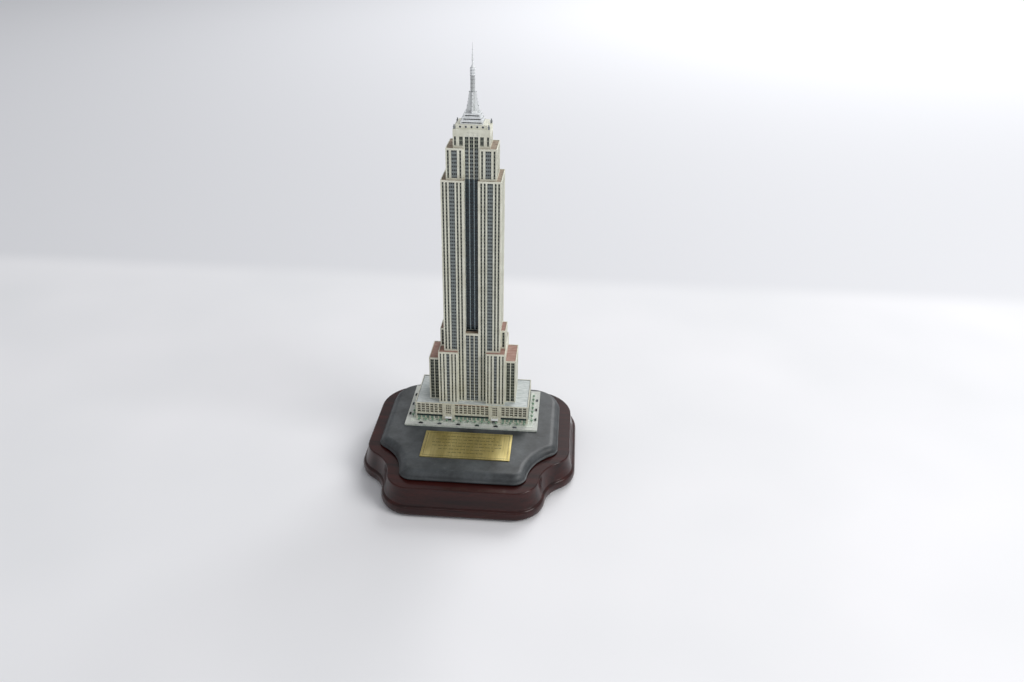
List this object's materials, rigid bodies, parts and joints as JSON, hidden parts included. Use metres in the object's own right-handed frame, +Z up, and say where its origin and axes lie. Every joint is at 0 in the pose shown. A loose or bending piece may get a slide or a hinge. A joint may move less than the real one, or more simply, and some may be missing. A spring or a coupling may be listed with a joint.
{
  "type": "miniature landmark model",
  "caption": "Lit souvenir tower with stepped setbacks on a street block, stone-look base with brass name plate, wooden plinth with battery compartment and slide switch.",
  "frame": {"origin": "middle of the plinth's outline, on the table under the rubber feet", "axes": "+Z up; the front with the name plate faces -Y; +X to the viewer's right"},
  "size_m": [0.193, 0.1838, 0.3683],
  "materials": {
    "lacquered_wood": "gloss",
    "stone_resin": "satin",
    "brushed_brass": "brushed",
    "street_resin": "matte",
    "foliage_paint": "matte",
    "car_paint": "gloss",
    "ivory_resin": "satin",
    "smoke_glazing": "gloss",
    "navy_glazing": "gloss",
    "shop_glazing": "gloss",
    "white_enamel": "satin",
    "grey_enamel": "satin",
    "cast_silver": "satin",
    "frosted_acrylic": "frosted",
    "white_plastic": "matte",
    "circuit_board": "satin",
    "led_epoxy": "gloss",
    "zinc_steel": "satin",
    "red_vinyl": "satin",
    "black_vinyl": "satin",
    "yellow_vinyl": "satin",
    "black_plastic": "matte",
    "cell_jacket": "gloss",
    "foot_rubber": "matte"
  },
  "bodies": {
    "root": {"wood_plinth": "lacquered_wood", "slate_base": "stone_resin", "name_plate": "brushed_brass", "street_slab": "street_resin", "street_trees": "foliage_paint", "street_cars": "car_paint", "podium_casting": "ivory_resin", "podium_windows": "smoke_glazing", "storefront_band": "shop_glazing", "entrance_canopies": "white_enamel", "shaft_casting": "ivory_resin", "left_wing": "ivory_resin", "right_wing": "ivory_resin", "tower_windows": "smoke_glazing", "recess_windows": "navy_glazing", "upper_tier": "ivory_resin", "upper_windows": "smoke_glazing", "crown": "ivory_resin", "crown_windows": "smoke_glazing", "crown_finials": "grey_enamel", "observation_deck": "white_enamel", "mast": "cast_silver", "beacon": "white_enamel", "antenna": "cast_silver", "light_tube": "frosted_acrylic", "lamp_holder": "white_plastic", "led_board": "circuit_board", "leds": "led_epoxy", "lamp_screws": "zinc_steel", "tie_screws": "zinc_steel", "lead_positive": "red_vinyl", "lead_negative": "black_vinyl", "lead_link": "yellow_vinyl", "battery_case": "black_plastic", "battery_contacts": "zinc_steel", "battery_cells": "cell_jacket", "bottom_cover": "black_plastic", "cover_screws": "zinc_steel", "rubber_feet": "foot_rubber", "switch_plate": "zinc_steel", "switch_body": "black_plastic", "switch_screws": "zinc_steel"},
    "battery_door": {"battery_door": "black_plastic"},
    "switch_slider": {"switch_slider": "black_plastic"}
  },
  "joints": [
    {"name": "battery_door_hinge", "type": "hinge", "parent": "root", "child": "battery_door", "pos_m": [0, -0.041, 0.0027], "axis": [-1, 0, 0], "range_deg": [0, 100]},
    {"name": "switch_slide", "type": "slide", "parent": "root", "child": "switch_slider", "axis": [1, 0, 0], "range_m": [0, 0.004]}
  ]
}
